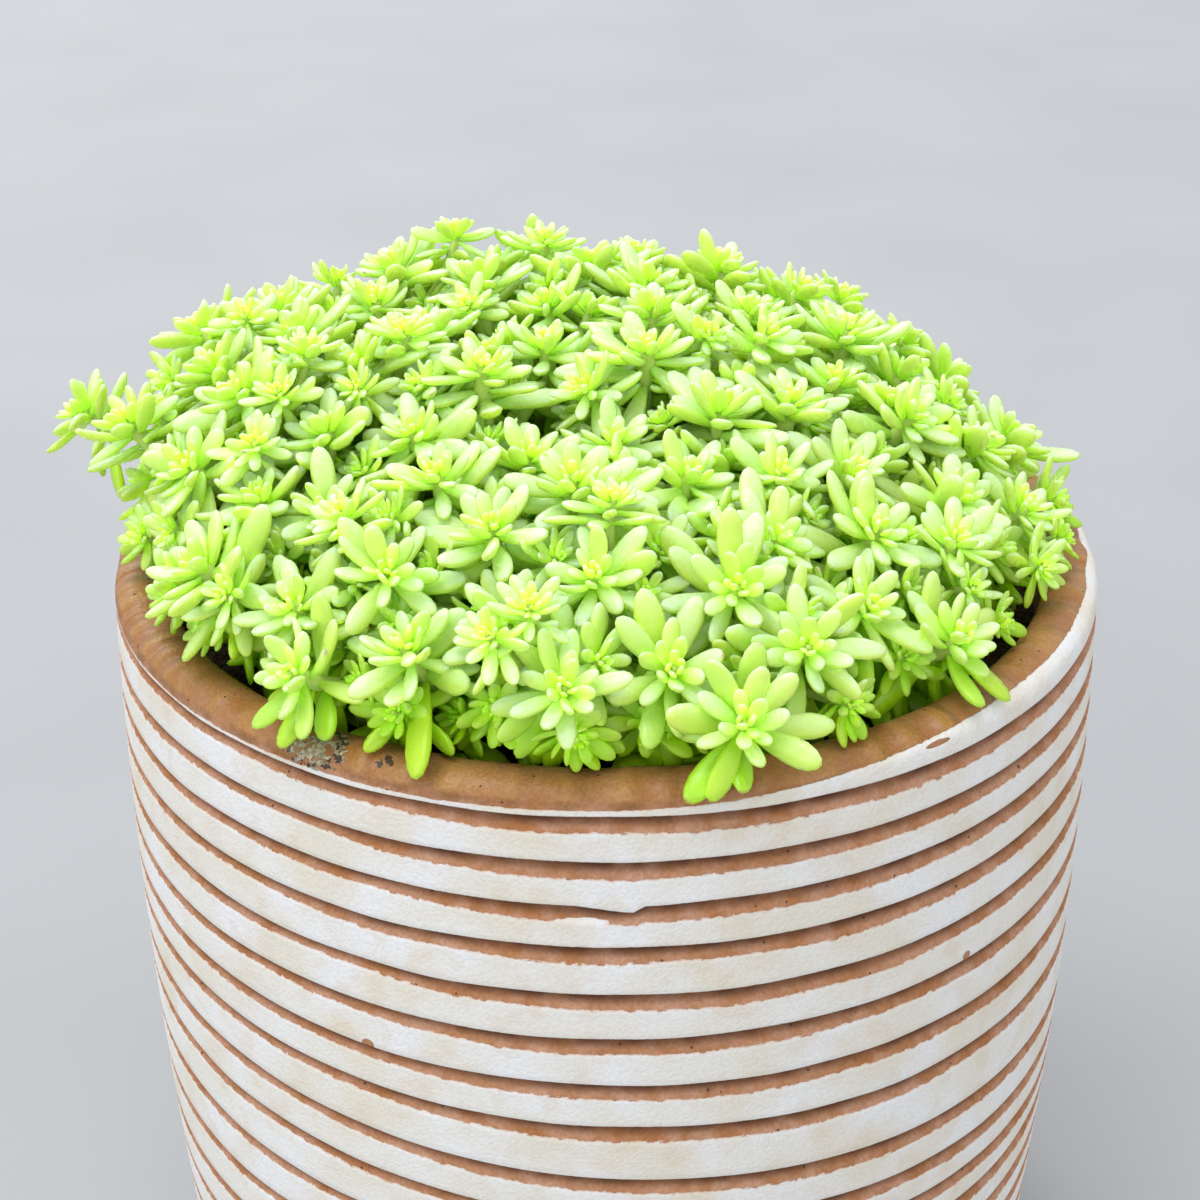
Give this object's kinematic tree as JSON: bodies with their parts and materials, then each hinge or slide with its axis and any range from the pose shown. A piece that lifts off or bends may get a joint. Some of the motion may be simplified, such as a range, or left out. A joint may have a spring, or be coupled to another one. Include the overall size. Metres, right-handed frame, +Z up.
{
  "type": "potted japanese stonecrop",
  "caption": "Low mat of succulent stonecrop rosettes on short stems, growing in soil in a cylindrical clay pot with ridged white and clay stripes.",
  "frame": {"origin": "middle of the pot's flat base", "axes": "+Z up along the pot's axis, -Y towards the pot's front as pictured, +X to its right"},
  "size_m": [0.1224, 0.1147, 0.1278],
  "materials": {
    "clay": "unglazed fired clay with bands of matte white slip",
    "soil": "damp peat potting soil, crumbly and matte",
    "leaf": "fleshy waxy leaves and stems, satin, slightly translucent"
  },
  "bodies": {
    "root": {"pot": "clay", "soil": "soil", "stonecrop_stem_01": "leaf", "stonecrop_stem_02": "leaf", "stonecrop_stem_03": "leaf", "stonecrop_stem_04": "leaf", "stonecrop_stem_05": "leaf", "stonecrop_stem_06": "leaf", "stonecrop_stem_07": "leaf", "stonecrop_stem_08": "leaf", "stonecrop_stem_09": "leaf", "stonecrop_stem_10": "leaf", "stonecrop_stem_11": "leaf", "stonecrop_stem_12": "leaf", "stonecrop_stem_13": "leaf", "stonecrop_stem_14": "leaf", "stonecrop_stem_15": "leaf", "stonecrop_stem_16": "leaf", "stonecrop_stem_17": "leaf", "stonecrop_stem_18": "leaf", "stonecrop_stem_19": "leaf", "stonecrop_stem_20": "leaf", "stonecrop_stem_21": "leaf", "stonecrop_stem_22": "leaf", "stonecrop_stem_23": "leaf", "stonecrop_stem_24": "leaf", "stonecrop_stem_25": "leaf", "stonecrop_stem_26": "leaf", "stonecrop_stem_27": "leaf", "stonecrop_stem_28": "leaf", "stonecrop_stem_29": "leaf", "stonecrop_stem_30": "leaf", "stonecrop_stem_31": "leaf", "stonecrop_stem_32": "leaf", "stonecrop_stem_33": "leaf", "stonecrop_stem_34": "leaf", "stonecrop_stem_35": "leaf", "stonecrop_stem_36": "leaf", "stonecrop_stem_37": "leaf", "stonecrop_stem_38": "leaf", "stonecrop_stem_39": "leaf", "stonecrop_stem_40": "leaf", "stonecrop_stem_41": "leaf", "stonecrop_stem_42": "leaf", "stonecrop_stem_43": "leaf", "stonecrop_stem_44": "leaf", "stonecrop_stem_45": "leaf", "stonecrop_stem_46": "leaf", "stonecrop_stem_47": "leaf", "stonecrop_stem_48": "leaf", "stonecrop_stem_49": "leaf", "stonecrop_stem_50": "leaf", "stonecrop_stem_51": "leaf", "stonecrop_stem_52": "leaf", "stonecrop_stem_53": "leaf", "stonecrop_stem_54": "leaf", "stonecrop_stem_55": "leaf", "stonecrop_stem_56": "leaf", "stonecrop_stem_57": "leaf", "stonecrop_stem_58": "leaf"}
  },
  "joints": []
}
